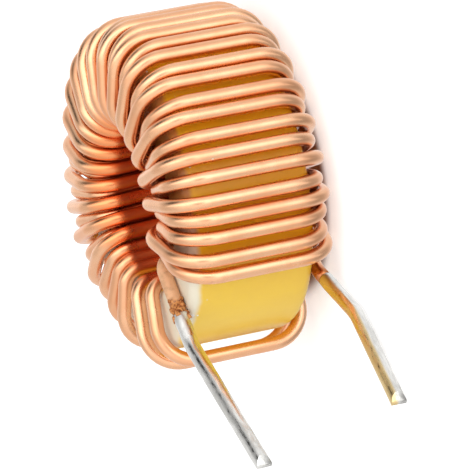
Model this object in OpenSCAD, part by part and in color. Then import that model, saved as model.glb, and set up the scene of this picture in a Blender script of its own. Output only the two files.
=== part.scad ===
// A toroidal inductor lying on its lower face, with the ring's axis upright, the core's white end up and
// both leads along -Y. The origin is under the middle of the whole part. Millimetres and degrees.

/* [Core] */
// Outside diameter of the ring core
core_od = 22.9; // [22.4:0.1:24]
// Diameter of the core's centre hole
core_id = 14; // [13.8:0.1:15]
// Height of the core along its axis
core_h = 9.5; // [8:0.1:12]
// Radius that rounds the core's edges
core_edge_r = 0.8; // [0.5:0.05:1]

/* [Winding] */
// Diameter of the enamelled copper wire
wire_d = 1.04; // [0.8:0.01:1.06]
// Number of turns on the outside of the core
turns = 42; // [40:1:46]
// Angle that the winding leaves open on the side of the leads
open_sector = 48; // [44:1:60]
// How far the stiff wire stands off the core's outside
side_bow = 0.65; // [0.5:0.05:0.9]
// How far it stands off the core's upper face beside the outer edge
upper_bow = 0.6; // [0.4:0.05:0.9]
// How much further it bulges up from that face on the slack side
slack = 0.45; // [0:0.05:0.5]
// How far it stands off the core's lower face beside the outer edge
lower_bow = 0.3; // [0.2:0.05:0.6]
// Share of the way from the hole to the outside that the wire's outer bends take up
outer_bend_share = 0.42; // [0.34:0.01:0.44]

/* [Leads] */
// Place of the upper lead across the core
upper_lead_x = -2.5; // [-3:0.1:-2]
// Reach of the upper lead's tip from the core's axis
upper_lead_reach = 26.25; // [20:0.05:32]
// Distance of the upper lead's kink from the core's side
upper_kink_out = 2; // [1:0.1:4]
// Angle that the upper lead leans down
upper_lead_tilt = 2; // [0:0.5:3]
// Reach of the lower lead's tip from the core's axis
lower_lead_reach = 25; // [20:0.1:30]
// Distance of the lower lead's bend from the core's side
lower_bend_out = 5; // [3:0.1:7]
// How far the lower lead drops from the core to its bend
lower_bend_drop = 0.6; // [0:0.05:0.65]
// How far it rises again from its bend to its tip
lower_tip_rise = 0.3; // [0:0.05:0.6]
// Diameter of the leads, which are the wire's ends with the tin on them
lead_d = 1.18; // [1.1:0.01:1.3]

/* [Hidden] */
$fn = 32;
clearance = 0.02;           // between the wire and what it lies against
turn_gap = 0.2;             // between neighbouring turns
bend_flare = 0.005;         // a bend is this much fatter, so that each straight run ends inside it
joint_overlap = 0.03;       // how far a straight run goes into its bends
steep = 0.7;                // a run that rises more than this share of its length takes its roll from X
wire_r = wire_d / 2;
wire_y = wire_r + clearance;    // the wire's centre line stands this far off what it lies against

// The first turn's angle, counterclockwise from +X, and the even step between tight turns. The last few
// turns are loose, each a step of its own further on.
lead_side = -90;
first_turn = lead_side + open_sector / 4;
loose_steps = [7.5, 11, 13, 25, 16];
tight_turns = turns - len(loose_steps);
tight_pitch = (360 - open_sector - loose_way(turns)) / (tight_turns - 1);
// How far turns have slipped from these places: the first turns outside the core and in its hole, the
// last tight turns outside the core, counted back from the last, and the loose turns in the hole.
first_slip = [0, -0.5, 0.3, -0.2, -1, 0, 0.3, 0, 0.7, -0.4, 0.7, -0.4, 0.3];
first_bore_slip = [-2, -2.2, -2.2, 0.8, 0.4];
late_slip = [0, -2.5, -4, -3.3, -2.8, -2.4, -2, -1.4, -0.7];
loose_bore_slip = [-1, -2.5, -6, -12, 2];
// The middle of the slack side, and the angle from there to where the wire's bulge dies out.
slack_angle = 138;
slack_spread = 32;

// In the hole the turns lie in two layers, because one layer has no room for all of them.
bore_r = core_id / 2 - wire_y;
layer_reach = wire_d + turn_gap;
inner_layer_r = bore_r * cos(tight_pitch) - sqrt(pow(layer_reach, 2) - pow(bore_r * sin(tight_pitch), 2));
layer_step = bore_r - inner_layer_r;
inner_bend_r = core_edge_r + wire_y;

side_r = core_od / 2 + wire_r + side_bow;
upper_side_z = core_h / 2 + wire_r + upper_bow;
lower_side_z = -core_h / 2 - wire_r - lower_bow;
face_z = core_h / 2 + wire_y + clearance;
outer_bend_r = outer_bend_share * (side_r - bore_r);

// The leads, with the kinks and bends where each was pulled straight. Two angles say where the wire comes
// up the hole to the upper lead, and where on the lower face it goes in before that.
lead_bend_r = 4;
upper_lead_start = lead_side - 2;
last_pass_start = lead_side - 32;
lower_edge_x = -0.3;
lower_bend_x = 0.3;
lower_tip_x = -0.5;
upper_kink = [upper_lead_x, -core_od / 2 - upper_kink_out, face_z];
upper_lead_in = polar(bore_r, upper_lead_start, face_z);
upper_tip = upper_kink + (upper_lead_reach + upper_kink.y) * [0, -1, -tan(upper_lead_tilt)];
lower_edge = [lower_edge_x, wire_y - core_od / 2, -face_z];
lower_bend = [lower_bend_x, -core_od / 2 - lower_bend_out, -face_z - lower_bend_drop];
lower_tip = [lower_tip_x, -lower_lead_reach, lower_bend.z + lower_tip_rise];

// The tinned lengths. Each lead's tip is cut by two flats that meet in a blunt edge.
lead_r = lead_d / 2;
tip_edge = 0.3;
tip_slope = 35;
upper_tin_start = upper_kink + unit(upper_lead_in - upper_kink) * (upper_kink_out + wire_y);
lower_tin_start = lower_edge + unit(lower_bend - lower_edge) * wire_d;

function unit(v) = v / norm(v);
function polar(r, a, z) = [r * cos(a), r * sin(a), z];
function slip(list, k) = k >= 0 && k < len(list) ? list[k] : 0;
function is_loose(k) = k >= tight_turns;
// The sum of the loose steps that lead up to turn k.
function loose_way(k) = loose_steps * [for (i = [0:len(loose_steps) - 1]) tight_turns + i <= k ? 1 : 0];
function turn_angle(k) = first_turn + min(k, tight_turns - 1) * tight_pitch + loose_way(k);
function outer_angle(k) = turn_angle(k) + slip(first_slip, k) + slip(late_slip, tight_turns - 1 - k);
function bore_angle(k) = turn_angle(k) + slip(first_bore_slip, k) + slip(loose_bore_slip, k - tight_turns);
// How far turn k bulges up: full in the middle of the slack side, and nothing at its ends.
function bulge(k) = slack * (1 + cos(min(180, 180 * abs(outer_angle(k) - slack_angle) / slack_spread))) / 2;

// Pass k goes up through the hole to the start of turn k. 1 is the layer on the wall, 2 the one inside it.
function layer(k) = is_loose(k) ? 1 : k == 1 ? 2 : k > 3 && k % 2 == 0 ? 2 : 1;
function pass_r(k) = layer(k) == 2 ? inner_layer_r : bore_r;
function pass_lift(k) = layer(k) == 2 ? layer_step + clearance : 0;
function pass_bend_r(k) = inner_bend_r + pass_lift(k);
function pass_foot_angle(k) = k == turns ? last_pass_start : bore_angle(k) - tight_pitch;

// The wire's route is a list of corners, each a point and the radius that rounds it.
function turn_route(k) = [
    [polar(pass_r(k), bore_angle(k), face_z + pass_lift(k)), pass_bend_r(k)],
    [polar(side_r, outer_angle(k), upper_side_z + bulge(k)), outer_bend_r],
    [polar(side_r, outer_angle(k), lower_side_z), outer_bend_r],
    [polar(pass_r(k + 1), pass_foot_angle(k + 1), -face_z - pass_lift(k + 1)), pass_bend_r(k + 1)]
];
start_route = [
    [lower_tin_start, 0],
    [lower_edge, lead_bend_r],
    [[lower_edge.x, -bore_r, -face_z], inner_bend_r]
];
end_route = [
    [upper_lead_in, inner_bend_r],
    [upper_tin_start, 0]
];
route = concat(start_route, [for (k = [0:turns - 1]) each turn_route(k)], end_route);

// Geometry of the corner at index i: the directions in and out, the angle between them, and the
// length of straight run that the bend takes away on each side.
function way_in(path, i) = unit(path[i][0] - path[i - 1][0]);
function way_out(path, i) = unit(path[i + 1][0] - path[i][0]);
function is_end(path, i) = i == 0 || i == len(path) - 1;
function turned(path, i) = acos(way_in(path, i) * way_out(path, i));
function taken(path, i) = is_end(path, i) ? 0 : path[i][1] * tan(turned(path, i) / 2);
function bend_start(path, i) = path[i][0] - way_in(path, i) * taken(path, i);
function bend_axis(path, i) = unit(cross(way_in(path, i), way_out(path, i)));
function bend_centre(path, i) =
    bend_start(path, i) + cross(bend_axis(path, i), way_in(path, i)) * path[i][1];
function circle_low(path, i) = bend_centre(path, i).z - path[i][1] * sqrt(1 - pow(bend_axis(path, i).z, 2));

// The part rests on the feet of its passes, the bends where they start up the hole, so the lowest foot
// sets the height of the core's middle.
function foot(k) = len(start_route) - 1 + 4 * k;
rest_z = wire_r + bend_flare - min([for (k = [0:turns]) circle_low(route, foot(k))]);

// The ring's axis stands off the origin, because the leads reach out on one side only.
axis_y = (upper_lead_reach - side_r - wire_r) / 2;

// Places children with their X, Y and Z axes along three unit vectors, and their origin at a point.
module placed(x, y, z, p) {
    multmatrix([
        [x.x, y.x, z.x, p.x],
        [x.y, y.y, z.y, p.y],
        [x.z, y.z, z.z, p.z]
    ]) children();
}

// Sets children, which are made around the middle of the core, at their place over the origin.
module at_rest() {
    translate([0, axis_y, rest_z]) children();
}

module bend(path, i, r) {
    start_way = way_in(path, i);
    axis = bend_axis(path, i);
    placed(cross(start_way, axis), start_way, axis, bend_centre(path, i))
        rotate_extrude(angle = turned(path, i), $fn = 64)
            translate([path[i][1], 0]) circle(r = r + bend_flare);
}

module straight(path, i, r) {
    way = way_out(path, i);
    side = unit(cross(way, abs(way.z) > steep ? [1, 0, 0] : [0, 0, 1]));
    from = path[i][0] + way * (taken(path, i) - (is_end(path, i) ? 0 : joint_overlap));
    to = path[i + 1][0] - way * (taken(path, i + 1) - (is_end(path, i + 1) ? 0 : joint_overlap));
    placed(side, cross(way, side), way, from) cylinder(h = norm(to - from), r = r);
}

module wire_along(path, r) {
    for (i = [0:len(path) - 2]) straight(path, i, r);
    for (i = [1:len(path) - 2]) bend(path, i, r);
}

module core() {
    color("gold") at_rest() rotate_extrude($fn = 128) rounded_section();
}

// Half of the ring's cross-section, with all four corners rounded.
module rounded_section() {
    wall = (core_od - core_id) / 2;
    translate([core_id / 2, -core_h / 2]) {
        translate([core_edge_r, 0]) square([wall - 2 * core_edge_r, core_h]);
        translate([0, core_edge_r]) square([wall, core_h - 2 * core_edge_r]);
        for (x = [core_edge_r, wall - core_edge_r], y = [core_edge_r, core_h - core_edge_r])
            translate([x, y]) circle(r = core_edge_r);
    }
}

module winding() {
    color("peru") at_rest() wire_along(route, wire_r);
}

module upper_lead() {
    color("silver") at_rest()
        tinned([[upper_tin_start, 0], [upper_kink, lead_bend_r], [upper_tip, 0]]);
}

module lower_lead() {
    color("silver") at_rest()
        tinned([[lower_tin_start, 0], [lower_bend, lead_bend_r], [lower_tip, 0]]);
}

module tinned(path) {
    last = len(path) - 1;
    way = way_in(path, last);
    across = unit(cross(way, [0, 0, 1]));
    difference() {
        wire_along(path, lead_r);
        placed(across, way, cross(across, way), path[last][0])
            for (side = [0, 1]) mirror([side, 0, 0]) translate([tip_edge / 2, 0, -lead_d])
                rotate(tip_slope) translate([0, -2 * lead_d, 0]) cube([lead_d, 3 * lead_d, 2 * lead_d]);
    }
}

core();
winding();
upper_lead();
lower_lead();
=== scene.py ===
"""A toroidal inductor: enamelled copper wire wound on a coated ring core, with two tinned leads."""
import math
import random

import bmesh
import bpy
from mathutils import Matrix, Vector, noise


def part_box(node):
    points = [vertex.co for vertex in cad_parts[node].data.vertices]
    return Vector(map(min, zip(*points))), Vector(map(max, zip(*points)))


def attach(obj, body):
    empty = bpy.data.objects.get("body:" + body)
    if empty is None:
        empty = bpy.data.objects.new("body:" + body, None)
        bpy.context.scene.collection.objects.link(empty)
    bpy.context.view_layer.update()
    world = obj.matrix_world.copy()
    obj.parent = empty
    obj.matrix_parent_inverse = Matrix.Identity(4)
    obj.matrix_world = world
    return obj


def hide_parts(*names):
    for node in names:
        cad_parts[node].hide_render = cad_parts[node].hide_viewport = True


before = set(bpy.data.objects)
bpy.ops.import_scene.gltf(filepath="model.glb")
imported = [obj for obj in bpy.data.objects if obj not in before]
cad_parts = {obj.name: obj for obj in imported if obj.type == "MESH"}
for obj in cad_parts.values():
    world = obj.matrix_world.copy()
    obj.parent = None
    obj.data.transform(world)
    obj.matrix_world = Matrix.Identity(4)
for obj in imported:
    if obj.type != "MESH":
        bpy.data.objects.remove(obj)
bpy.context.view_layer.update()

bl_info = {
    "name": "Toroidal inductor",
    "version": (1, 0, 0),
    "blender": (4, 5, 0),
    "location": "3D View > Sidebar > Inductor",
    "description": "Makes a toroidal inductor with its winding, coated core and tinned leads",
    "category": "Object",
}

MM = 0.001
BODY = "root"
CORE_LOW, CORE_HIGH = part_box("core")


def length_prop(name, description, default):
    """A size in metres, given here in millimetres."""
    return bpy.props.FloatProperty(
        name=name, description=description, default=default * MM,
        unit="LENGTH", subtype="DISTANCE", precision=5,
    )


def angle_prop(name, description, default):
    """An angle, given here in degrees."""
    return bpy.props.FloatProperty(
        name=name, description=description, default=math.radians(default),
        unit="ROTATION", subtype="ANGLE",
    )


def colour_prop(name, description, default):
    """A linear colour."""
    return bpy.props.FloatVectorProperty(
        name=name, description=description, default=default,
        subtype="COLOR", size=3, min=0.0, max=1.0,
    )


class CoreSizes(bpy.types.PropertyGroup):
    """Sizes of the ring core."""
    outside: length_prop("Outside diameter", "Diameter of the core's outside", 22.9)
    hole: length_prop("Hole diameter", "Diameter of the core's centre hole", 14)
    height: length_prop("Height", "Height of the core along its axis", 9.5)
    edge: length_prop("Edge radius", "Radius that rounds the core's edges", 0.8)


class WindingSizes(bpy.types.PropertyGroup):
    """Sizes of the wire and of how it is wound."""
    wire: length_prop("Wire diameter", "Diameter of the enamelled wire", 1.04)
    turns: bpy.props.IntProperty(name="Turns", description="Number of turns", default=42, min=40, max=46)
    open_sector: angle_prop("Open sector", "Angle without winding on the side of the leads", 48)
    side_bow: length_prop("Side bow", "How far the wire stands off the core's outside", 0.65)
    upper_bow: length_prop("Upper bow", "How far it stands off the upper face", 0.6)
    slack: length_prop("Slack", "How much further it bulges up on the slack side", 0.45)
    lower_bow: length_prop("Lower bow", "How far it stands off the lower face", 0.3)
    bend_share: bpy.props.FloatProperty(
        name="Bend share", description="Share of the way outwards that an outer bend takes",
        default=0.42, min=0.34, max=0.44,
    )
    clearance: length_prop("Clearance", "Gap between the wire and what it lies against", 0.02)
    turn_gap: length_prop("Turn gap", "Gap between neighbouring turns", 0.2)


class LeadSizes(bpy.types.PropertyGroup):
    """Sizes of the two tinned leads."""
    lead: length_prop("Lead diameter", "Diameter of a lead with the tin on it", 1.18)
    bend: length_prop("Bend radius", "Radius of a lead's bend", 4)
    upper_x: length_prop("Upper lead place", "Place of the upper lead across the core", -2.5)
    upper_reach: length_prop("Upper reach", "Reach of the upper lead from the core's axis", 26.25)
    upper_kink: length_prop("Upper kink", "Distance of the upper lead's kink from the core's side", 2)
    upper_tilt: angle_prop("Upper tilt", "Angle that the upper lead leans down", 2)
    lower_reach: length_prop("Lower reach", "Reach of the lower lead from the core's axis", 25)
    lower_bend: length_prop("Lower bend", "Distance of the lower lead's bend from the core's side", 5)
    lower_drop: length_prop("Lower drop", "How far the lower lead drops to its bend", 0.6)
    lower_rise: length_prop("Lower rise", "How far it rises again to its tip", 0.3)


class Finishes(bpy.types.PropertyGroup):
    """Colours of the finishes."""
    copper: colour_prop("Copper", "Enamelled copper", (0.97, 0.56, 0.33))
    copper_deep: colour_prop("Deep copper", "Copper where the enamel is thick", (0.93, 0.46, 0.24))
    # Painted shade: copper darkened and reddened for the wire inside the hole.
    shaded: colour_prop("Inner copper", "Enamelled copper inside the hole", (0.90, 0.27, 0.07))
    bare: colour_prop("Bare copper", "Dull copper where the enamel was burnt off", (0.86, 0.50, 0.28))
    residue: colour_prop("Residue", "Flux and burnt enamel", (0.32, 0.09, 0.02))
    yellow: colour_prop("Yellow coat", "The coat on the core's side", (0.95, 0.63, 0.06))
    # Painted light and shade: the yellow coat warmed and darkened as the copper's reflected light and shade
    # between tight turns.
    painted_bounce_amber: colour_prop("Amber coat", "The yellow coat as it looks between tight turns", (1.0, 0.54, 0.015))
    white: colour_prop("White coat", "The coat on the core's upper face", (0.88, 0.81, 0.64))
    tin: colour_prop("Tin", "Bright tin", (0.95, 0.94, 0.91))
    tin_grey: colour_prop("Rough tin", "Tin where it is rough", (0.60, 0.59, 0.56))
    flux: colour_prop("Flux film", "Dried flux on the lower lead", (0.80, 0.57, 0.22))


class Studio(bpy.types.PropertyGroup):
    """The room's light and the camera."""
    ambient: bpy.props.FloatProperty(name="Ambient", description="Strength of the room's light", default=1.32)
    lens: bpy.props.FloatProperty(name="Lens", description="Focal length in millimetres", default=306.38)
    place: bpy.props.FloatVectorProperty(
        name="Camera place", description="Where the camera stands",
        default=(0.19129, -0.19505, 0.10118), unit="LENGTH", subtype="TRANSLATION", size=3,
    )


def settings():
    """The part's settings, which the sidebar shows."""
    return bpy.context.scene.inductor


# ---------------------------------------------------------------- the wire's route

# Angles in degrees. The last few turns are loose, each a step of its own further on. Turns have slipped
# from their places: the first ones outside the core and in its hole, the last tight ones outside the core,
# counted back from the last, and the loose ones in the hole.
LOOSE_STEPS = (7.5, 11, 13, 25, 16)
FIRST_SLIP = (0, -0.5, 0.3, -0.2, -1, 0, 0.3, 0, 0.7, -0.4, 0.7, -0.4, 0.3)
FIRST_BORE_SLIP = (-2, -2.2, -2.2, 0.8, 0.4)
LATE_SLIP = (0, -2.5, -4, -3.3, -2.8, -2.4, -2, -1.4, -0.7)
LOOSE_BORE_SLIP = (-1, -2.5, -6, -12, 2)
# The middle of the side on which the turns are slack, and the angle from there to where that ends.
SLACK_ANGLE, SLACK_SPREAD = 138.0, 32.0
# The side that the leads point to, and from there, where the wire leaves the hole to the upper lead and
# where it goes in before that.
LEAD_SIDE = -90.0
UPPER_LEAD_TURN = -2.0
LAST_PASS_TURN = -32.0
# The lower lead's places across the core, at the core's edge, at its bend and at its tip.
LOWER_EDGE_X, LOWER_BEND_X, LOWER_TIP_X = -0.3 * MM, 0.3 * MM, -0.5 * MM


def polar(radius, angle, height):
    """A point round the ring's axis, from an angle in degrees."""
    turn = math.radians(angle)
    return Vector((radius * math.cos(turn), radius * math.sin(turn), height))


def slip(values, k):
    """How far the turn at place k of a list has slipped: a turn past the list's ends hasn't."""
    return values[k] if 0 <= k < len(values) else 0.0


class Route:
    """The corners that the wire goes round, each a point and a bend radius, from the core's middle."""

    def __init__(self):
        part = settings()
        core, wind, lead = part.core, part.winding, part.leads
        self.wire_r = wind.wire / 2
        self.lead_r = lead.lead / 2
        self.wire_y = self.wire_r + wind.clearance
        self.turns = wind.turns
        self.tight = wind.turns - len(LOOSE_STEPS)
        self.slack = wind.slack
        open_sector = math.degrees(wind.open_sector)
        self.first = LEAD_SIDE + open_sector / 4
        self.pitch = (360 - open_sector - sum(LOOSE_STEPS)) / (self.tight - 1)
        self.core_r = core.outside / 2
        self.side_r = self.core_r + self.wire_r + wind.side_bow
        self.upper_z = core.height / 2 + self.wire_r + wind.upper_bow
        self.lower_z = -core.height / 2 - self.wire_r - wind.lower_bow
        self.face_z = core.height / 2 + self.wire_y + wind.clearance
        self.bore_r = core.hole / 2 - self.wire_y
        self.inner_layer_r = self.inner_layer(wind.wire + wind.turn_gap)
        self.layer_lift = self.bore_r - self.inner_layer_r + wind.clearance
        self.inner_bend = core.edge + self.wire_y
        self.outer_bend = wind.bend_share * (self.side_r - self.bore_r)
        middle_y = (lead.upper_reach - self.side_r - self.wire_r) / 2
        self.centre = Vector((0, middle_y, (CORE_LOW.z + CORE_HIGH.z) / 2))
        start = self.lay_lower_lead(lead, wind.wire)
        end = self.lay_upper_lead(lead)
        self.winding = start + [corner for k in range(self.turns) for corner in self.turn(k)] + end

    def inner_layer(self, spacing):
        """The radius at which a pass lies in the groove between two passes on the hole's wall."""
        lean = math.radians(self.pitch)
        return self.bore_r * math.cos(lean) - math.sqrt(spacing ** 2 - (self.bore_r * math.sin(lean)) ** 2)

    def lay_upper_lead(self, lead):
        """Lays the upper lead, and gives the corners that end the winding before it."""
        kink = Vector((lead.upper_x, -self.core_r - lead.upper_kink, self.face_z))
        tip = kink + (lead.upper_reach + kink.y) * Vector((0, -1, -math.tan(lead.upper_tilt)))
        way_in = polar(self.bore_r, LEAD_SIDE + UPPER_LEAD_TURN, self.face_z)
        tin = kink + (way_in - kink).normalized() * (lead.upper_kink + self.wire_y)
        self.upper_lead = [(tin, 0), (kink, lead.bend), (tip, 0)]
        return [(way_in, self.inner_bend), (tin, 0)]

    def lay_lower_lead(self, lead, bare):
        """Lays the lower lead past a bare length, and gives the corners that start the winding."""
        edge = Vector((LOWER_EDGE_X, self.wire_y - self.core_r, -self.face_z))
        bend = Vector((LOWER_BEND_X, -self.core_r - lead.lower_bend, -self.face_z - lead.lower_drop))
        tip = Vector((LOWER_TIP_X, -lead.lower_reach, bend.z + lead.lower_rise))
        tin = edge + (bend - edge).normalized() * bare
        self.lower_lead = [(tin, 0), (bend, lead.bend), (tip, 0)]
        way_up = Vector((edge.x, -self.bore_r, -self.face_z))
        return [(tin, 0), (edge, lead.bend), (way_up, self.inner_bend)]

    def turn_angle(self, k):
        """The angle of turn k's place, before it slips."""
        loose = sum(LOOSE_STEPS[:max(0, k - self.tight + 1)])
        return self.first + min(k, self.tight - 1) * self.pitch + loose

    def outer_angle(self, k):
        """The angle of turn k outside the core."""
        return self.turn_angle(k) + slip(FIRST_SLIP, k) + slip(LATE_SLIP, self.tight - 1 - k)

    def bore_angle(self, k):
        """The angle at which turn k leaves the hole."""
        return self.turn_angle(k) + slip(FIRST_BORE_SLIP, k) + slip(LOOSE_BORE_SLIP, k - self.tight)

    def foot_angle(self, k):
        """The angle at which pass k enters the hole."""
        return LEAD_SIDE + LAST_PASS_TURN if k == self.turns else self.bore_angle(k) - self.pitch

    def bulge(self, k):
        """How far turn k bulges up: full in the middle of the slack side, and nothing at its ends."""
        off = abs(self.outer_angle(k) - SLACK_ANGLE) / SLACK_SPREAD
        return self.slack * (1 + math.cos(math.pi * min(1.0, off))) / 2

    def inner(self, k):
        """Whether pass k, which goes up the hole before turn k, lies in the inner layer."""
        return k < self.tight and (k == 1 or (k > 3 and k % 2 == 0))

    def pass_r(self, k):
        """The radius at which pass k goes up the hole."""
        return self.inner_layer_r if self.inner(k) else self.bore_r

    def lift(self, k):
        """How much further pass k stands off both faces, to clear the layer on the wall."""
        return self.layer_lift if self.inner(k) else 0.0

    def turn(self, k):
        """The four corners of turn k."""
        outer = self.outer_angle(k)
        lift, next_lift = self.lift(k), self.lift(k + 1)
        out_of_hole = polar(self.pass_r(k), self.bore_angle(k), self.face_z + lift)
        into_hole = polar(self.pass_r(k + 1), self.foot_angle(k + 1), -self.face_z - next_lift)
        return [
            (out_of_hole, self.inner_bend + lift),
            (polar(self.side_r, outer, self.upper_z + self.bulge(k)), self.outer_bend),
            (polar(self.side_r, outer, self.lower_z), self.outer_bend),
            (into_hole, self.inner_bend + next_lift),
        ]


# ---------------------------------------------------------------- meshes

# The points round a wire, and its steps along a bend and a straight run.
AROUND = 20
BEND_STEP = math.radians(9)
RUN_STEP = 0.9 * MM


def open_ring(mesh):
    """The edges round the wire's open ends."""
    return [edge for edge in mesh.edges if edge.is_boundary or edge.is_wire]


class Wire:
    """A round wire drawn through a route, one corner at a time."""

    def __init__(self, route, radius, run_step=RUN_STEP, bend_step=BEND_STEP, around=AROUND):
        self.route = route
        self.radius = radius
        self.around = around
        self.run_step = run_step
        self.bend_step = bend_step
        self.mesh = bmesh.new()
        self.laid = self.mesh.verts.layers.float_vector.new("laid_out")
        self.travelled = 0.0
        self.draw()

    def first_ring(self):
        """The points of the circle that the wire starts from."""
        start = self.route[0][0]
        way = (self.route[1][0] - start).normalized()
        place = Matrix.Translation(start) @ way.to_track_quat("Z", "Y").to_matrix().to_4x4()
        circle = bmesh.new()
        verts = bmesh.ops.create_circle(circle, segments=self.around, radius=self.radius)["verts"]
        bmesh.ops.transform(circle, matrix=place, verts=verts)
        points = [vert.co.copy() for vert in verts]
        circle.free()
        return points

    def draw(self):
        """Draws each corner's straight run and its bend."""
        ring = self.first_ring()
        at = self.route[0][0]
        for i in range(1, len(self.route)):
            corner, radius = self.route[i]
            way = (corner - self.route[i - 1][0]).normalized()
            turned, taken = 0.0, 0.0
            if i < len(self.route) - 1:
                on = (self.route[i + 1][0] - corner).normalized()
                turned = way.angle(on)
                taken = radius * math.tan(turned / 2)
            start = corner - way * taken
            ring = self.stretch(ring, start - at)
            at = start
            if turned:
                axis = way.cross(on).normalized()
                centre = start + axis.cross(way) * radius
                ring = self.bend(ring, centre, axis, turned, radius)
                at = corner + on * taken
        bmesh.ops.remove_doubles(self.mesh, verts=self.mesh.verts, dist=1e-8)

    def stretch(self, ring, way):
        """A straight run along a way, from a ring of points: gives the ring at its end."""
        steps = max(1, round(way.length / self.run_step))
        part, edges = self.start_part(ring)
        for _ in range(steps):
            made = bmesh.ops.extrude_edge_only(part, edges=edges)
            verts = [item for item in made["geom"] if isinstance(item, bmesh.types.BMVert)]
            bmesh.ops.translate(part, verts=verts, vec=way / steps)
            fresh = set(verts)
            edges = [item for item in made["geom"] if isinstance(item, bmesh.types.BMEdge)
                     and all(vert in fresh for vert in item.verts)]
        return self.add_part(part, way.length / steps)

    def bend(self, ring, centre, axis, turned, radius):
        """A bend round an axis through a centre, from a ring of points: gives the ring at its end."""
        steps = max(2, round(turned / self.bend_step))
        part, edges = self.start_part(ring)
        bmesh.ops.spin(part, geom=edges, cent=centre, axis=axis, dvec=(0, 0, 0), angle=turned, steps=steps,
                       use_duplicate=False)
        return self.add_part(part, turned * radius / steps)

    def start_part(self, ring):
        """A new mesh with a ring of edges through the points."""
        part = bmesh.new()
        part.verts.layers.float_vector.new("laid_out")
        verts = [part.verts.new(place) for place in ring]
        edges = [part.edges.new((verts[i - 1], verts[i])) for i in range(len(verts))]
        return part, edges

    def add_part(self, part, step):
        """Notes where each point lies along and round the wire, and joins the part to the wire."""
        laid = part.verts.layers.float_vector["laid_out"]
        part.verts.ensure_lookup_table()
        count = len(part.verts)
        for index, vert in enumerate(part.verts):
            turn = math.tau * (index % self.around) / self.around
            along = self.travelled + step * (index // self.around)
            vert[laid] = (self.radius * math.cos(turn), self.radius * math.sin(turn), along)
        self.travelled += step * (count // self.around - 1)
        last = [vert.co.copy() for vert in part.verts[count - self.around:]]
        piece = bpy.data.meshes.new("part")
        part.to_mesh(piece)
        part.free()
        self.mesh.from_mesh(piece)
        bpy.data.meshes.remove(piece)
        return last

    def close(self):
        """Closes both ends with a face."""
        bmesh.ops.holes_fill(self.mesh, edges=open_ring(self.mesh), sides=self.around)


def finish_piece(mesh, name, material, centre, node):
    """Puts a mesh into the scene at its place, as a piece that stands for a CAD node."""
    bmesh.ops.translate(mesh, verts=mesh.verts, vec=centre)
    bmesh.ops.recalc_face_normals(mesh, faces=mesh.faces)
    for face in mesh.faces:
        face.smooth = True
    data = bpy.data.meshes.new(name)
    mesh.to_mesh(data)
    mesh.free()
    data.materials.append(material)
    piece = bpy.data.objects.new(name, data)
    bpy.context.scene.collection.objects.link(piece)
    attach(piece, BODY)
    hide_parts(node)
    return piece


# ---------------------------------------------------------------- materials

# Colours of small marks: dust, nicks and heat on the enamel, light grains in its crust that are partly
# painted highlights, and chips and dirt on the coat. Then the copper's painted reflection on the white
# coat, and the painted shade on the floor.
DUST, NICK, HEAT = (0.95, 0.86, 0.75), (0.20, 0.07, 0.03), (0.50, 0.14, 0.03)
CRUST_GRAIN_AND_GLINT, CHIP, DIRT = (0.74, 0.33, 0.10), (0.88, 0.86, 0.80), (0.33, 0.25, 0.12)
COPPER_REFLECTION_PAINT, FLOOR_SHADE = (0.62, 0.23, 0.05), (0.28, 0.15, 0.09)


def add_node(tree, kind, place, **values):
    """Adds a node at its place in the tree's layout, with its settings."""
    node = tree.nodes.new(kind)
    node.location = place
    for name, value in values.items():
        setattr(node, name, value)
    return node


def feed(tree, socket, value):
    """Gives a node's input its value: another node's output, a colour or a number."""
    if isinstance(value, bpy.types.NodeSocket):
        tree.links.new(value, socket)
    elif socket.type == "RGBA":
        socket.default_value = (*value[:3], 1)
    else:
        socket.default_value = value


def ramp(tree, source, stops, place):
    """A ramp of greys on a value, from (position, grey) stops."""
    node = add_node(tree, "ShaderNodeValToRGB", place)
    elements = node.color_ramp.elements
    while len(elements) < len(stops):
        elements.new(0.5)
    for element, (position, grey) in zip(elements, stops):
        element.position = position
        element.color = (grey, grey, grey, 1)
    feed(tree, node.inputs["Fac"], source)
    return node.outputs["Color"]


def mix(tree, factor, low, high, place, blend="MIX"):
    """Mixes two colours, each an output or a colour."""
    node = add_node(tree, "ShaderNodeMix", place, data_type="RGBA", blend_type=blend)
    feed(tree, node.inputs["Factor"], factor)
    feed(tree, node.inputs[6], low)
    feed(tree, node.inputs[7], high)
    return node.outputs[2]


def math_node(tree, operation, a, b, place, clamp=False):
    """A value worked out from two."""
    node = add_node(tree, "ShaderNodeMath", place, operation=operation, use_clamp=clamp)
    feed(tree, node.inputs[0], a)
    feed(tree, node.inputs[1], b)
    return node.outputs[0]


def scale_and_add(tree, value, scale, base, place):
    """A value times a scale, plus a base."""
    product = math_node(tree, "MULTIPLY_ADD", value, scale, place)
    feed(tree, product.node.inputs[2], base)
    return product


def span(tree, value, low, high, place, out_low=0.0, out_high=1.0):
    """Maps a value's span onto another, with soft ends."""
    node = add_node(tree, "ShaderNodeMapRange", place, interpolation_type="SMOOTHSTEP")
    feed(tree, node.inputs["Value"], value)
    for name, number in (("From Min", low), ("From Max", high), ("To Min", out_low), ("To Max", out_high)):
        node.inputs[name].default_value = number
    return node.outputs["Result"]


def vector_math(tree, operation, vector, other, place):
    """A node that works on a vector and a fixed vector."""
    node = add_node(tree, "ShaderNodeVectorMath", place, operation=operation)
    feed(tree, node.inputs[0], vector)
    feed(tree, node.inputs[1], other)
    return node


def parts_of(tree, vector, place):
    """The X, Y and Z parts of a vector."""
    node = add_node(tree, "ShaderNodeSeparateXYZ", place)
    feed(tree, node.inputs[0], vector)
    return node.outputs


def stretched(tree, vector, scale, place):
    """A vector scaled on each axis."""
    node = add_node(tree, "ShaderNodeMapping", place)
    feed(tree, node.inputs["Vector"], vector)
    feed(tree, node.inputs["Scale"], scale)
    return node.outputs["Vector"]


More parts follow.
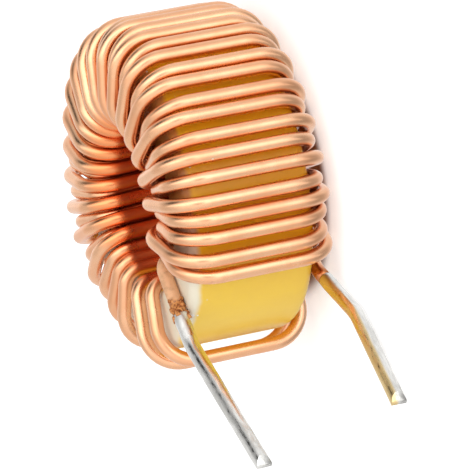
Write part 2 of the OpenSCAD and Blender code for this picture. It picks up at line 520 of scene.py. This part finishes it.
def noise_value(tree, vector, scale, place, detail=3.0, roughness=0.5):
    """A cloudy value between 0 and 1, finer as the scale grows."""
    node = add_node(tree, "ShaderNodeTexNoise", place)
    for name, value in (("Vector", vector), ("Scale", scale), ("Detail", detail), ("Roughness", roughness)):
        feed(tree, node.inputs[name], value)
    return node.outputs["Fac"]


def bump(tree, height, strength, distance, place, normal=None):
    """The surface's normal, tilted by a height."""
    node = add_node(tree, "ShaderNodeBump", place)
    feed(tree, node.inputs["Height"], height)
    feed(tree, node.inputs["Strength"], strength)
    feed(tree, node.inputs["Distance"], distance)
    if normal:
        feed(tree, node.inputs["Normal"], normal)
    return node.outputs["Normal"]


def effect_group(name, inputs, output):
    """A new node group that takes a vector and named numbers, and gives one value."""
    group = bpy.data.node_groups.new(name, "ShaderNodeTree")
    group.interface.new_socket("Vector", in_out="INPUT", socket_type="NodeSocketVector")
    for label, default in inputs.items():
        socket = group.interface.new_socket(label, in_out="INPUT", socket_type="NodeSocketFloat")
        socket.default_value = default
    group.interface.new_socket(output, in_out="OUTPUT", socket_type="NodeSocketFloat")
    given = add_node(group, "NodeGroupInput", (-900, 0)).outputs
    return group, given, add_node(group, "NodeGroupOutput", (600, 0)).inputs[output]


def speck_group():
    """Small scattered specks, such as dust and nicks: a mask that is 1 on a speck."""
    name = "specks"
    if name in bpy.data.node_groups:
        return bpy.data.node_groups[name]
    group, given, mask = effect_group(name, {"Scale": 1000.0, "Amount": 0.1, "Size": 0.2}, "Mask")
    cells = add_node(group, "ShaderNodeTexVoronoi", (-600, 100))
    feed(group, cells.inputs["Vector"], given["Vector"])
    feed(group, cells.inputs["Scale"], given["Scale"])
    split = add_node(group, "ShaderNodeSeparateColor", (-400, -50))
    feed(group, split.inputs[0], cells.outputs["Color"])
    chosen = math_node(group, "LESS_THAN", split.outputs[0], given["Amount"], (-200, -50))
    size = math_node(group, "MULTIPLY", split.outputs[1], given["Size"], (-200, -250))
    near = math_node(group, "LESS_THAN", cells.outputs["Distance"], size, (0, 100))
    feed(group, mask, math_node(group, "MULTIPLY", near, chosen, (200, 0)))
    return group


def mottle_group():
    """Two noises of different sizes in one value between 0 and 1."""
    name = "mottle"
    if name in bpy.data.node_groups:
        return bpy.data.node_groups[name]
    group, given, value = effect_group(name, {"Coarse": 200.0, "Fine": 2000.0, "Balance": 0.5}, "Value")
    coarse = noise_value(group, given["Vector"], given["Coarse"], (-600, 150), detail=2.0)
    fine = noise_value(group, given["Vector"], given["Fine"], (-600, -150), detail=4.0, roughness=0.6)
    blend = add_node(group, "ShaderNodeMix", (-300, 0), data_type="FLOAT")
    feed(group, blend.inputs["Factor"], given["Balance"])
    feed(group, blend.inputs[2], coarse)
    feed(group, blend.inputs[3], fine)
    feed(group, value, span(group, blend.outputs[0], 0.3, 0.7, (0, 0)))
    return group


def effect(tree, group, vector, place, **values):
    """Places an effect group in a material with its own values, and gives its one output."""
    node = add_node(tree, "ShaderNodeGroup", place, node_tree=group)
    feed(tree, node.inputs["Vector"], vector)
    for name, value in values.items():
        node.inputs[name].default_value = value
    return node.outputs[0]


def new_material(name):
    """A material with its Principled shader, and the coordinates of the object."""
    material = bpy.data.materials.new(name)
    material.use_nodes = True
    tree = material.node_tree
    shader = tree.nodes["Principled BSDF"].inputs
    coords = add_node(tree, "ShaderNodeTexCoord", (-1800, 0)).outputs["Object"]
    return material, tree, shader, coords


def along_wire(tree):
    """Where a point lies on the wire drawn out straight: across it, and along it as Z."""
    return add_node(tree, "ShaderNodeAttribute", (-1800, -300), attribute_name="laid_out").outputs["Vector"]


def distance_from_axis(tree, coords, route):
    """How far a point lies from the core's axis."""
    flat = vector_math(tree, "MULTIPLY", coords, (1, 1, 0), (-1600, 600)).outputs["Vector"]
    axis = (route.centre.x, route.centre.y, 0)
    return vector_math(tree, "DISTANCE", flat, axis, (-1400, 600)).outputs["Value"]


def toned(colour, red, green, blue):
    """A colour with its parts scaled."""
    return colour[0] * red, colour[1] * green, colour[2] * blue


def enamel_colour(tree, coords, route, patches, drawn):
    """Clear orange enamel over bright copper: painted shade inside the hole, with dust and nicks."""
    look = settings().finishes
    enamel = mix(tree, patches, look.copper, look.copper_deep, (-1000, 300))
    reach = distance_from_axis(tree, coords, route)
    # Painted shade: the enamel turns darker and redder inside the hole.
    inside = span(tree, reach, 5.4 * MM, 6.9 * MM, (-1200, 600), 0.75, 0.0)
    enamel = mix(tree, inside, enamel, look.shaded, (-900, 300))
    streaks = ramp(tree, drawn, ((0.0, 0.93), (1.0, 1.0)), (-1200, 0))
    enamel = mix(tree, 1.0, enamel, streaks, (-800, 300), "MULTIPLY")
    dust = effect(tree, speck_group(), coords, (-1400, -200), Scale=900.0, Amount=0.02, Size=0.16)
    dust = math_node(tree, "MULTIPLY", dust, 0.7, (-1200, -200))
    enamel = mix(tree, dust, enamel, DUST, (-600, 300))
    nicks = effect(tree, speck_group(), coords, (-1400, -450), Scale=700.0, Amount=0.02, Size=0.2)
    return mix(tree, nicks, enamel, NICK, (-400, 300))


def stripped_colour(tree, coords, scorch, burnt):
    """Dull bare copper with scorched patches, and a crust of burnt enamel at its end, whose light grains are
    partly painted highlights.
    """
    look = settings().finishes
    scorched = math_node(tree, "MULTIPLY", scorch, scorch, (-1000, -650))
    dull = mix(tree, scorched, look.bare, toned(look.bare, 0.58, 0.50, 0.45), (-800, -800))
    char = span(tree, noise_value(tree, coords, 5200.0, (-1400, -1500)), 0.38, 0.60, (-1000, -1500))
    # Partly painted highlights: light grains in the dark crust stand for its glints as well as its own
    # mottle.
    crust = mix(tree, char, look.residue, CRUST_GRAIN_AND_GLINT, (-800, -1300))
    return mix(tree, burnt, dull, crust, (-600, -800))


def copper_material(route, length):
    """Enamelled copper wire, burnt bare near the upper lead and scorched beside the lower one."""
    material, tree, shader, coords = new_material("copper_wire")
    laid = along_wire(tree)
    patches = effect(tree, mottle_group(), coords, (-1400, 300), Coarse=260.0, Fine=1400.0, Balance=0.35)
    drawn = effect(tree, mottle_group(), stretched(tree, laid, (1, 1, 0.06), (-1600, 0)), (-1400, 0),
                   Coarse=2600.0, Fine=6000.0, Balance=0.5)
    scorch = effect(tree, mottle_group(), coords, (-1400, -1100), Coarse=700.0, Fine=3600.0, Balance=0.45)

    ragged = noise_value(tree, coords, 2600.0, (-1400, -800), detail=4.0)
    along = scale_and_add(tree, ragged, 1.2 * MM, parts_of(tree, laid, (-1600, -300))["Z"], (-1200, -800))
    bare = (length - 6.4 * MM, length - 5.4 * MM)
    stripped = span(tree, along, *bare, (-1000, -800))
    burnt = span(tree, along, length - 0.9 * MM, length - 0.1 * MM, (-1000, -1050))
    heated = span(tree, along, 1.3 * MM, 2.3 * MM, (-1000, -1400), 0.85, 0.0)

    enamel = enamel_colour(tree, coords, route, patches, drawn)
    colour = mix(tree, stripped, enamel, stripped_colour(tree, coords, scorch, burnt), (-200, 300))
    feed(tree, shader["Base Color"], mix(tree, heated, colour, HEAT, (0, 300)))
    glossy = span(tree, patches, 0.0, 1.0, (-600, -200), 0.24, 0.32)
    feed(tree, shader["Roughness"], mix(tree, stripped, glossy, (0.62, 0.62, 0.62), (-200, -200)))
    feed(tree, shader["Metallic"], span(tree, along, *bare, (-600, -500), 1.0, 0.35))
    feed(tree, shader["Coat Weight"], span(tree, along, *bare, (-600, -650), 0.3, 0.0))
    shader["Coat Roughness"].default_value = 0.12
    shader["Coat IOR"].default_value = 1.5
    skin = bump(tree, drawn, 0.25, 0.004 * MM, (-400, -900))
    grit = math_node(tree, "MULTIPLY", scorch, stripped, (-600, -1250))
    feed(tree, shader["Normal"], bump(tree, grit, 0.8, 0.05 * MM, (-200, -900), skin))
    return material


def tight_side(tree, coords, route):
    """A mask of the core under the tight turns, and the angle round it from the open sector's middle."""
    from_axis = vector_math(tree, "SUBTRACT", coords, route.centre, (-1600, 500)).outputs["Vector"]
    aside = parts_of(tree, from_axis, (-1400, 500))
    angle = math_node(tree, "ARCTAN2", aside["Y"], aside["X"], (-1200, 500))
    open_middle = math.radians(LEAD_SIDE) - settings().winding.open_sector / 4
    angle = math_node(tree, "SUBTRACT", angle, open_middle, (-1100, 500))
    begins = span(tree, angle, math.radians(20), math.radians(27), (-900, 500))
    ends = span(tree, angle, math.radians(215), math.radians(240), (-900, 700), 1.0, 0.0)
    return math_node(tree, "MULTIPLY", ends, begins, (-800, 500)), angle


def coat_material(route):
    """The core's epoxy coat: yellow, with white over the upper face and its edge, both warmer between
    tight turns, where the copper's reflected colour and shade are painted on."""
    look = settings().finishes
    material, tree, shader, coords = new_material("core_coat")
    top = CORE_HIGH.z
    tight, angle = tight_side(tree, coords, route)
    axes = parts_of(tree, coords, (-1600, 0))
    wander = noise_value(tree, coords, 420.0, (-1600, -250))
    level = scale_and_add(tree, wander, 0.7 * MM, axes["Z"], (-1400, -250))
    drop = span(tree, axes["X"], -5 * MM, -1.5 * MM, (-1400, -400), -0.25 * MM, 0.0)
    level = math_node(tree, "ADD", level, drop, (-1300, -250))
    tight_drop = span(tree, tight, 0.0, 1.0, (-1300, -100), 0.0, -0.15 * MM)
    white_level = math_node(tree, "ADD", level, tight_drop, (-1250, -250))
    white = span(tree, white_level, top - 0.52 * MM, top - 0.05 * MM, (-1200, -250))

    cloud = effect(tree, mottle_group(), coords, (-1400, 300), Coarse=160.0, Fine=1200.0, Balance=0.3)
    yellow = mix(tree, cloud, look.yellow, toned(look.yellow, 0.95, 0.92, 1.2), (-1000, 300))
    # Painted light and shade: the copper's reflected colour and shade on the yellow between tight turns.
    yellow = mix(tree, tight, yellow, look.painted_bounce_amber, (-850, 300))
    pale = mix(tree, cloud, look.white, toned(look.white, 0.9, 0.9, 0.9), (-1000, 100))
    # Painted reflection: the white coat takes the copper's colour between tight turns, more so further round.
    far_round = span(tree, angle, math.radians(28), math.radians(50), (-1000, 0), 0.35, 1.0)
    painted_reflection_mask = math_node(tree, "MULTIPLY", tight, far_round, (-900, 0))
    pale = mix(tree, painted_reflection_mask, pale, COPPER_REFLECTION_PAINT, (-850, 100))
    colour = mix(tree, white, yellow, pale, (-700, 200))

    specks = effect(tree, speck_group(), coords, (-1400, -500), Scale=2600.0, Amount=0.10, Size=0.34)
    near_white = span(tree, level, top - 1.1 * MM, top - 0.5 * MM, (-1200, -650))
    chips = math_node(tree, "MULTIPLY", specks, near_white, (-1000, -500))
    colour = mix(tree, chips, colour, CHIP, (-500, 200))
    dirt = effect(tree, speck_group(), coords, (-1400, -850), Scale=620.0, Amount=0.05, Size=0.12)
    dirt = math_node(tree, "MULTIPLY", dirt, 0.6, (-1000, -850))
    feed(tree, shader["Base Color"], mix(tree, dirt, colour, DIRT, (-300, 200)))
    feed(tree, shader["Roughness"], span(tree, cloud, 0.0, 1.0, (-700, -200), 0.32, 0.45))
    shader["Specular IOR Level"].default_value = 0.45
    peel = effect(tree, mottle_group(), coords, (-1400, -1100), Coarse=700.0, Fine=3500.0, Balance=0.4)
    feed(tree, shader["Normal"], bump(tree, peel, 0.35, 0.03 * MM, (-400, -500)))
    return material


def flux_film(tree, coords):
    """A mask of the dried flux, on the lower lead's upper side."""
    normal = add_node(tree, "ShaderNodeTexCoord", (-1800, -600)).outputs["Normal"]
    up = parts_of(tree, normal, (-1600, -600))["Z"]
    height = parts_of(tree, coords, (-1600, -800))["Z"]
    lower_lead = span(tree, height, 4 * MM, 6 * MM, (-1300, -800), 0.85, 0.0)
    upper_side = span(tree, up, 0.05, 0.45, (-1300, -600))
    return math_node(tree, "MULTIPLY", lower_lead, upper_side, (-1100, -700))


def tin_material():
    """Hot-dipped tin: bright, with rough grey streaks and small pits along it."""
    look = settings().finishes
    material, tree, shader, coords = new_material("tin")
    runs = effect(tree, mottle_group(), stretched(tree, along_wire(tree), (1, 1, 0.25), (-1600, -100)),
                  (-1400, 200), Coarse=1100.0, Fine=5200.0, Balance=0.45)
    colour = mix(tree, runs, look.tin, look.tin_grey, (-900, 200))
    feed(tree, shader["Base Color"], mix(tree, flux_film(tree, coords), colour, look.flux, (-700, 200)))
    shader["Metallic"].default_value = 1.0
    feed(tree, shader["Roughness"], span(tree, runs, 0.2, 0.9, (-900, -100), 0.12, 0.42))
    feed(tree, shader["Normal"], bump(tree, runs, 0.4, 0.03 * MM, (-600, -300)))
    return material


def studio_floor_material(under):
    """A pale floor, white to the camera and shaded in a ring round a point under the part."""
    material, tree, shader, coords = new_material("studio_floor")
    tint = noise_value(tree, coords, 3.0, (-900, 0), detail=1.0)
    pale = ramp(tree, tint, ((0.0, 0.76), (1.0, 0.80)), (-600, 0))
    away = vector_math(tree, "DISTANCE", coords, under, (-1200, -250)).outputs["Value"]
    outer = span(tree, away, 8.2 * MM, 10.3 * MM, (-900, -250), 1.0, 0.0)
    inner = span(tree, away, 4.6 * MM, 7.4 * MM, (-900, -400))
    shade = math_node(tree, "MULTIPLY", outer, inner, (-700, -300))
    feed(tree, shader["Base Color"], mix(tree, shade, pale, FLOOR_SHADE, (-300, 0)))
    shader["Roughness"].default_value = 0.9
    shader["Specular IOR Level"].default_value = 0.0
    path = add_node(tree, "ShaderNodeLightPath", (-900, -500)).outputs
    seen = math_node(tree, "ADD", path["Is Camera Ray"], path["Is Transmission Ray"], (-600, -500),
                     clamp=True)
    glow = span(tree, shade, 0.0, 1.0, (-600, -750), 0.5, 0.0)
    shader["Emission Color"].default_value = (1, 1, 1, 1)
    feed(tree, shader["Emission Strength"], math_node(tree, "MULTIPLY", seen, glow, (-300, -500)))
    see_past_floor(tree, path)
    return material


def see_past_floor(tree, path):
    """Clears the floor for shiny pieces, which mirror the room, and for a camera under it."""
    solid = tree.nodes["Principled BSDF"].outputs[0]
    clear = add_node(tree, "ShaderNodeBsdfTransparent", (0, -200)).outputs[0]
    back = add_node(tree, "ShaderNodeNewGeometry", (-900, -900)).outputs["Backfacing"]
    below = math_node(tree, "MULTIPLY", back, path["Is Camera Ray"], (-600, -900))
    past = math_node(tree, "MAXIMUM", path["Is Glossy Ray"], below, (-300, -800))
    choose = add_node(tree, "ShaderNodeMixShader", (300, 0))
    for socket, value in zip(choose.inputs, (past, solid, clear)):
        feed(tree, socket, value)
    feed(tree, tree.nodes["Material Output"].inputs["Surface"], choose.outputs[0])


# ---------------------------------------------------------------- operators


class INDUCTOR_OT_core(bpy.types.Operator):
    """Makes the coated ring core"""
    bl_idname = "inductor.core"
    bl_label = "Ring core"

    hollow_size = 3.5 * MM
    hollow_depth = 0.02 * MM

    def execute(self, context):
        size = settings().core
        route = Route()
        mesh = bmesh.new()
        inner, outer, half, edge = size.hole / 2, size.outside / 2, size.height / 2, size.edge
        corners = ((inner, half), (inner, -half), (outer, -half), (outer, half))
        verts = [mesh.verts.new((radius, 0, height)) for radius, height in corners]
        for i in range(4):
            mesh.edges.new((verts[i], verts[(i + 1) % 4]))
        bmesh.ops.bevel(mesh, geom=verts, offset=edge, offset_type="OFFSET", affect="VERTICES", segments=8,
                        profile=0.5, material=-1)
        long_edges = [e for e in mesh.edges if e.calc_length() > 2 * edge]
        bmesh.ops.subdivide_edges(mesh, edges=long_edges, cuts=10)
        bmesh.ops.spin(mesh, geom=mesh.verts[:] + mesh.edges[:], cent=(0, 0, 0), axis=(0, 0, 1),
                       dvec=(0, 0, 0), angle=math.tau, steps=180, use_merge=True, use_duplicate=False)
        bmesh.ops.remove_doubles(mesh, verts=mesh.verts, dist=1e-7)
        self.roughen(mesh)
        finish_piece(mesh, "coated_core", coat_material(route), route.centre, "core")
        return {"FINISHED"}

    def roughen(self, mesh):
        """Moves the coat towards the axis by a little that changes from place to place."""
        for vert in mesh.verts:
            depth = abs(noise.noise(vert.co / self.hollow_size)) * self.hollow_depth
            vert.co -= Vector((vert.co.x, vert.co.y, 0)).normalized() * depth


class INDUCTOR_OT_winding(bpy.types.Operator):
    """Winds the enamelled wire round the core"""
    bl_idname = "inductor.winding"
    bl_label = "Winding"

    # The burnt lumps: how many, their sizes and roughness, and how far back from the wire's end they lie.
    lumps = 46
    lump_size = (0.10 * MM, 0.19 * MM)
    lump_grain = 0.12 * MM
    lump_roughness = 0.9
    lump_seat = 0.97
    burnt_length = (-0.45 * MM, 1.2 * MM)
    past_end = 0.3 * MM
    seed = 11

    def execute(self, context):
        route = Route()
        wire = Wire(route.winding, route.wire_r)
        wire.close()
        self.burn(wire, route)
        finish_piece(wire.mesh, "wound_wire", copper_material(route, wire.travelled), route.centre,
                     "winding")
        return {"FINISHED"}

    def burn(self, wire, route):
        """Leaves burnt enamel in lumps round the end at which the tin of the upper lead starts."""
        tip = route.winding[-1][0]
        way = (tip - route.winding[-2][0]).normalized()
        across = way.orthogonal().normalized() * wire.radius
        dice = random.Random(self.seed)
        for _ in range(self.lumps):
            back = dice.uniform(*self.burnt_length)
            size = dice.uniform(*self.lump_size)
            spot = Matrix.Rotation(dice.uniform(0, math.tau), 3, way) @ across * self.lump_seat
            place = tip - way * back + spot
            lump = bmesh.ops.create_icosphere(wire.mesh, subdivisions=2, radius=size)
            for vert in lump["verts"]:
                grain = noise.noise(vert.co / self.lump_grain + place / MM)
                vert.co *= 1 + self.lump_roughness * grain
                vert.co += place
                vert[wire.laid] = (vert.co.x, vert.co.y, wire.travelled + self.past_end)


class INDUCTOR_OT_leads(bpy.types.Operator):
    """Makes the two tinned leads with their pinched tips"""
    bl_idname = "inductor.leads"
    bl_label = "Tinned leads"

    tip_edge = 0.3 * MM
    tip_slope = math.radians(35)
    # The tin's unevenness: the sizes of its runs and sags, their depths in mm, and how far it starts thin.
    run_size, sag_size = 0.9 * MM, 0.45 * MM
    run_depth, sag_depth, start_depth = 0.018, 0.018, 0.05
    sag_stretch = 0.3
    thin_start = 0.7 * MM
    # Points this close along a lead are one ring.
    ring_width = 0.001 * MM

    def execute(self, context):
        route = Route()
        tin = tin_material()
        for path, name, node in ((route.upper_lead, "tinned_upper_lead", "upper_lead"),
                                 (route.lower_lead, "tinned_lower_lead", "lower_lead")):
            wire = Wire(path, route.lead_r, run_step=0.12 * MM, bend_step=math.radians(3), around=32)
            wire.close()
            self.roughen(wire)
            self.pinch(wire.mesh, path)
            finish_piece(wire.mesh, name, tin, route.centre, node)
        return {"FINISHED"}

    def roughen(self, wire):
        """Lets the tin run thinner and thicker, never past the lead's own radius."""
        laid = wire.laid
        rings = {}
        for vert in wire.mesh.verts:
            rings.setdefault(round(vert[laid].z / self.ring_width), []).append(vert)
        for key, ring in rings.items():
            middle = sum((vert.co for vert in ring), Vector()) / len(ring)
            along = key * self.ring_width
            start = max(0.0, 1 - along / self.thin_start)
            for vert in ring:
                drawn_out = Vector((vert[laid].x, vert[laid].y, along * self.sag_stretch))
                run = noise.noise(vert[laid] / self.run_size) * 0.5 + 0.5
                sag = noise.noise(drawn_out / self.sag_size) * 0.5 + 0.5
                thin = (self.run_depth * run + self.sag_depth * sag + self.start_depth * start * run) * MM
                vert.co -= (vert.co - middle).normalized() * thin

    def pinch(self, mesh, path):
        """Cuts the tip with two flats that meet in a blunt edge."""
        tip = path[-1][0]
        way = (tip - path[-2][0]).normalized()
        across = way.cross(Vector((0, 0, 1))).normalized()
        for side in (1, -1):
            normal = across * side * math.cos(self.tip_slope) + way * math.sin(self.tip_slope)
            point = tip + across * side * self.tip_edge / 2
            cut = bmesh.ops.bisect_plane(mesh, geom=mesh.verts[:] + mesh.edges[:] + mesh.faces[:],
                                         dist=1e-9, plane_co=point, plane_no=normal, clear_outer=True)
            edges = [item for item in cut["geom_cut"] if isinstance(item, bmesh.types.BMEdge)]
            bmesh.ops.edgeloop_fill(mesh, edges=edges)


class INDUCTOR_OT_stage(bpy.types.Operator):
    """Sets out the floor, the room's light and the camera"""
    bl_idname = "inductor.stage"
    bl_label = "Studio"

    floor_half = 3.0
    look_right = Vector((0.0856, -0.36752, -0.92607))
    look_up = Vector((0.74633, 0.63941, -0.18477))
    look_back = Vector((0.66005, -0.67534, 0.32903))
    # The room's brightness, by the angle in degrees from the camera's own place up over its top.
    bands = ((-180, 0.7), (-90, 0.66), (-50, 0.82), (-15, 1.0), (-1, 1.6), (34, 1.65), (50, 0.95), (76, 0.7),
             (180, 0.8))
    # Each dim place in the room: its direction, the degrees at which it is full and gone, and its depth.
    dim_places = (
        ((0, 0, 1), 7, 20, 0.6),
        ((0.79, 0.61, 0.02), 9, 19, 0.93),
        ((0.79, 0.61, 0.02), 16, 45, 0.4),
        ((-1, 0, 0.1), 15, 60, 0.5),
        ((1, -0.2, 0), 10, 50, 0.2),
    )

    def execute(self, context):
        context.scene.view_settings.view_transform = "Standard"
        self.floor()
        self.room()
        self.camera()
        return {"FINISHED"}

    def floor(self):
        """A floor that the part stands on, out to far past what the camera sees."""
        mesh = bmesh.new()
        bmesh.ops.create_grid(mesh, x_segments=4, y_segments=4, size=self.floor_half)
        data = bpy.data.meshes.new("floor")
        mesh.to_mesh(data)
        mesh.free()
        data.materials.append(studio_floor_material(under=Vector((0, Route().centre.y, 0))))
        piece = bpy.data.objects.new("floor", data)
        bpy.context.scene.collection.objects.link(piece)

    def room(self):
        """A light room: white to the camera, with brighter bands and dim places for the part to mirror."""
        world = bpy.data.worlds.new("light_room")
        bpy.context.scene.world = world
        world.use_nodes = True
        tree = world.node_tree
        tree.nodes.clear()
        way = add_node(tree, "ShaderNodeTexCoord", (-1200, 0)).outputs["Generated"]
        shade = self.banded(tree, way)
        for row, (centre, full, gone, depth) in enumerate(self.dim_places):
            facing = self.part_along(tree, way, self.toward(*centre), (-1000, -150 * row))
            lobe = span(tree, facing, math.cos(math.radians(gone)), math.cos(math.radians(full)),
                        (-600, -150 * row), 1.0, 1.0 - depth)
            shade = math_node(tree, "MULTIPLY", shade, lobe, (100, -150 * row))
        strength = math_node(tree, "MULTIPLY", shade, settings().studio.ambient, (250, -150))
        lit = self.background(tree, strength, (400, -150))
        white = self.background(tree, 1.0, (400, 150))
        to_camera = add_node(tree, "ShaderNodeLightPath", (400, 400)).outputs["Is Camera Ray"]
        choose = add_node(tree, "ShaderNodeMixShader", (700, 0))
        for socket, value in zip(choose.inputs, (to_camera, lit, white)):
            feed(tree, socket, value)
        out = add_node(tree, "ShaderNodeOutputWorld", (900, 0))
        feed(tree, out.inputs["Surface"], choose.outputs[0])

    def banded(self, tree, way):
        """The brightness that the bands give a direction."""
        up = self.part_along(tree, way, self.look_up, (-1000, 300))
        back = self.part_along(tree, way, self.look_back, (-1000, 150))
        height = math_node(tree, "ARCTAN2", up, back, (-800, 200))
        share = span(tree, height, -math.pi, math.pi, (-600, 200))
        share.node.interpolation_type = "LINEAR"
        # A ramp holds values up to 1, so it takes half of each.
        stops = [((angle + 180) / 360, strength / 2) for angle, strength in self.bands]
        return math_node(tree, "MULTIPLY", ramp(tree, share, stops, (-400, 200)), 2.0, (-100, 200))

    def background(self, tree, strength, place):
        """White light of a strength."""
        node = add_node(tree, "ShaderNodeBackground", place)
        node.inputs["Color"].default_value = (1, 1, 1, 1)
        feed(tree, node.inputs["Strength"], strength)
        return node.outputs[0]

    def part_along(self, tree, way, direction, place):
        """How much of a way lies along a direction."""
        return vector_math(tree, "DOT_PRODUCT", way, direction, place).outputs["Value"]

    def toward(self, left, up, back):
        """A direction from its parts towards the camera's left, its top and the camera itself."""
        return (up * self.look_up + back * self.look_back - left * self.look_right).normalized()

    def camera(self):
        """A camera on its side, so that the ring's axis lies across its view."""
        studio = settings().studio
        data = bpy.data.cameras.new("camera")
        data.lens = studio.lens
        data.sensor_width = 36.0
        data.clip_start = 0.01
        camera = bpy.data.objects.new("camera", data)
        axes = Matrix((self.look_right, self.look_up, self.look_back)).transposed().to_4x4()
        camera.matrix_world = Matrix.Translation(Vector(studio.place)) @ axes
        bpy.context.scene.collection.objects.link(camera)
        bpy.context.scene.camera = camera


class INDUCTOR_PT_panel(bpy.types.Panel):
    """Lists the inductor's sizes and the operators that make it"""
    bl_idname = "INDUCTOR_PT_panel"
    bl_label = "Toroidal inductor"
    bl_space_type = "VIEW_3D"
    bl_region_type = "UI"
    bl_category = "Inductor"

    def draw(self, context):
        part = settings()
        for title, group, operator in (("Core", part.core, "inductor.core"),
                                       ("Winding", part.winding, "inductor.winding"),
                                       ("Leads", part.leads, "inductor.leads"),
                                       ("Studio", part.studio, "inductor.stage"),
                                       ("Finishes", part.finishes, None)):
            box = self.layout.box()
            box.label(text=title)
            for name in group.__annotations__:
                box.prop(group, name)
            if operator:
                box.operator(operator)


class Inductor(bpy.types.PropertyGroup):
    """Everything that can be set on the inductor."""
    core: bpy.props.PointerProperty(name="Core", description="The ring core", type=CoreSizes)
    winding: bpy.props.PointerProperty(name="Winding", description="The wire's turns", type=WindingSizes)
    leads: bpy.props.PointerProperty(name="Leads", description="The tinned leads", type=LeadSizes)
    finishes: bpy.props.PointerProperty(name="Finishes", description="The colours", type=Finishes)
    studio: bpy.props.PointerProperty(name="Studio", description="The light and the camera", type=Studio)


CLASSES = (
    CoreSizes, WindingSizes, LeadSizes, Finishes, Studio, Inductor,
    INDUCTOR_OT_core, INDUCTOR_OT_winding, INDUCTOR_OT_leads, INDUCTOR_OT_stage, INDUCTOR_PT_panel,
)


def register():
    """Adds the settings, the operators and the panel to Blender."""
    for cls in CLASSES:
        bpy.utils.register_class(cls)
    bpy.types.Scene.inductor = bpy.props.PointerProperty(
        name="Inductor", description="The toroidal inductor's settings", type=Inductor)


def unregister():
    """Takes them out again."""
    del bpy.types.Scene.inductor
    for cls in reversed(CLASSES):
        bpy.utils.unregister_class(cls)


def main():
    """Makes the whole part and its studio."""
    register()
    bpy.ops.inductor.core()
    bpy.ops.inductor.winding()
    bpy.ops.inductor.leads()
    bpy.ops.inductor.stage()


if __name__ == "__main__":
    main()
